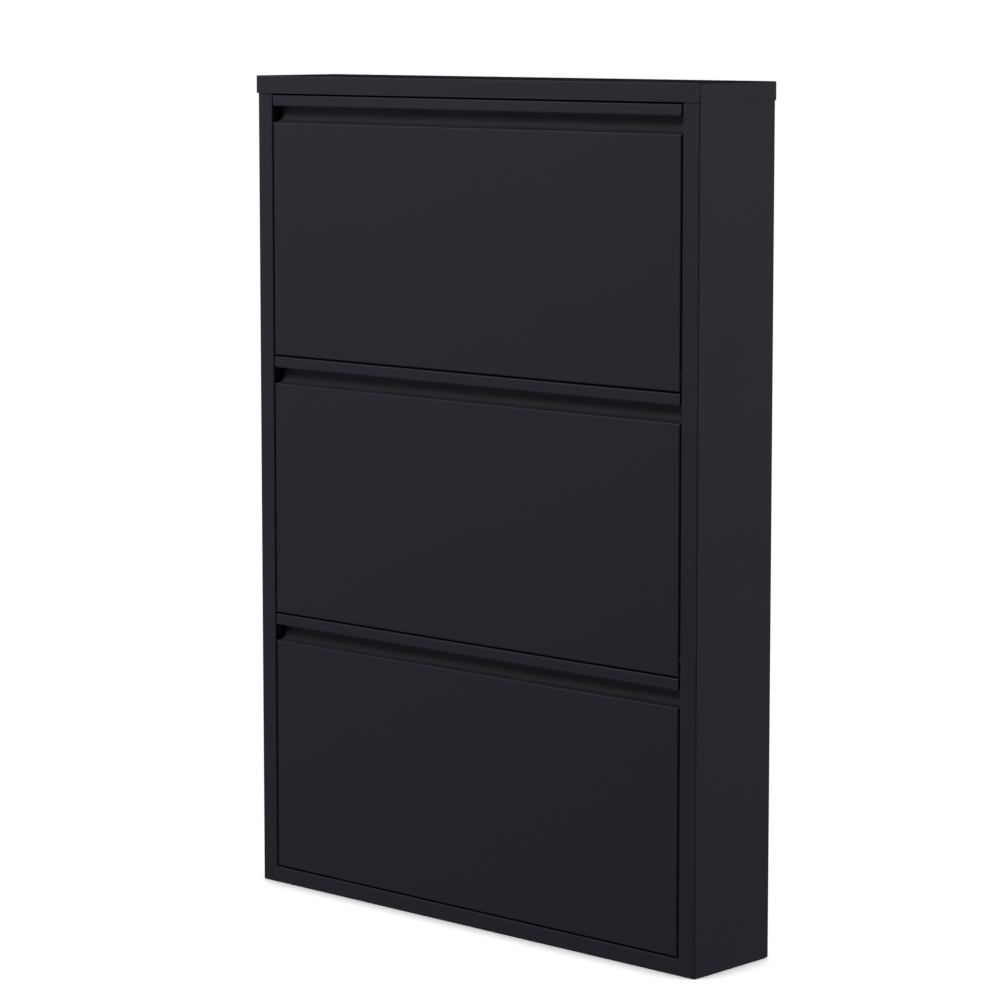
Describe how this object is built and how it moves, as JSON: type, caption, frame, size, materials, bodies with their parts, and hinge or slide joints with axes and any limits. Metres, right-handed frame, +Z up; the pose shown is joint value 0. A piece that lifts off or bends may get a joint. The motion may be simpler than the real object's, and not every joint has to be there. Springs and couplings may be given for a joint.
{
  "type": "shoe cabinet",
  "caption": "Slim free-standing sheet-steel shoe cabinet with stacked tip-out flaps, each with a full-width finger groove under its lip.",
  "frame": {"origin": "on the floor, at the middle of the footprint's bounding box", "axes": "+Z up, +Y towards the wall behind, +X to the right as seen from the front"},
  "size_m": [0.7236, 0.1368, 1.03],
  "materials": {
    "powder_coat": "matt anthracite powder coat, very fine texture",
    "zinc_steel": "satin zinc plate, passivated",
    "black_steel": "black-oxide steel, lightly oiled",
    "nylon": "satin moulded nylon",
    "rubber": "matt black rubber"
  },
  "bodies": {
    "carcass": {"side_panel_left": "powder_coat", "side_panel_right": "powder_coat", "top_cap": "powder_coat", "base_panel": "powder_coat", "back_panel": "powder_coat", "closing_bumpers": "rubber", "floor_glides": "nylon", "back_panel_screws": "zinc_steel", "cap_nuts": "zinc_steel", "cross_rail_bottom": "powder_coat", "hinge_pin_bottom_left": "black_steel", "hinge_pin_bottom_right": "black_steel", "cross_rail_middle": "powder_coat", "hinge_pin_middle_left": "black_steel", "hinge_pin_middle_right": "black_steel", "cross_rail_top": "powder_coat", "hinge_pin_top_left": "black_steel", "hinge_pin_top_right": "black_steel"},
    "flap_bottom": {"flap_front_bottom": "powder_coat", "shoe_tray_bottom": "powder_coat", "shoe_rail_bottom": "zinc_steel", "flap_rivets_bottom": "zinc_steel", "wing_bottom_left": "powder_coat", "wing_bottom_right": "powder_coat", "hinge_bush_bottom_left": "nylon", "hinge_bush_bottom_right": "nylon", "stop_stud_bottom_left": "black_steel", "stop_stud_bottom_right": "black_steel", "stop_sleeve_bottom_left": "rubber", "stop_sleeve_bottom_right": "rubber"},
    "flap_middle": {"flap_front_middle": "powder_coat", "shoe_tray_middle": "powder_coat", "shoe_rail_middle": "zinc_steel", "flap_rivets_middle": "zinc_steel", "wing_middle_left": "powder_coat", "wing_middle_right": "powder_coat", "hinge_bush_middle_left": "nylon", "hinge_bush_middle_right": "nylon", "stop_stud_middle_left": "black_steel", "stop_stud_middle_right": "black_steel", "stop_sleeve_middle_left": "rubber", "stop_sleeve_middle_right": "rubber"},
    "flap_top": {"flap_front_top": "powder_coat", "shoe_tray_top": "powder_coat", "shoe_rail_top": "zinc_steel", "flap_rivets_top": "zinc_steel", "wing_top_left": "powder_coat", "wing_top_right": "powder_coat", "hinge_bush_top_left": "nylon", "hinge_bush_top_right": "nylon", "stop_stud_top_left": "black_steel", "stop_stud_top_right": "black_steel", "stop_sleeve_top_left": "rubber", "stop_sleeve_top_right": "rubber"}
  },
  "joints": [
    {"name": "flap_bottom_tilt", "type": "hinge", "parent": "carcass", "child": "flap_bottom", "pos_m": [0, -0.0601, 0.04], "axis": [1, 0, 0], "range_deg": [0, 38]},
    {"name": "flap_middle_tilt", "type": "hinge", "parent": "carcass", "child": "flap_middle", "pos_m": [0, -0.0601, 0.36867], "axis": [1, 0, 0], "range_deg": [0, 38]},
    {"name": "flap_top_tilt", "type": "hinge", "parent": "carcass", "child": "flap_top", "pos_m": [0, -0.0601, 0.69733], "axis": [1, 0, 0], "range_deg": [0, 38]}
  ]
}
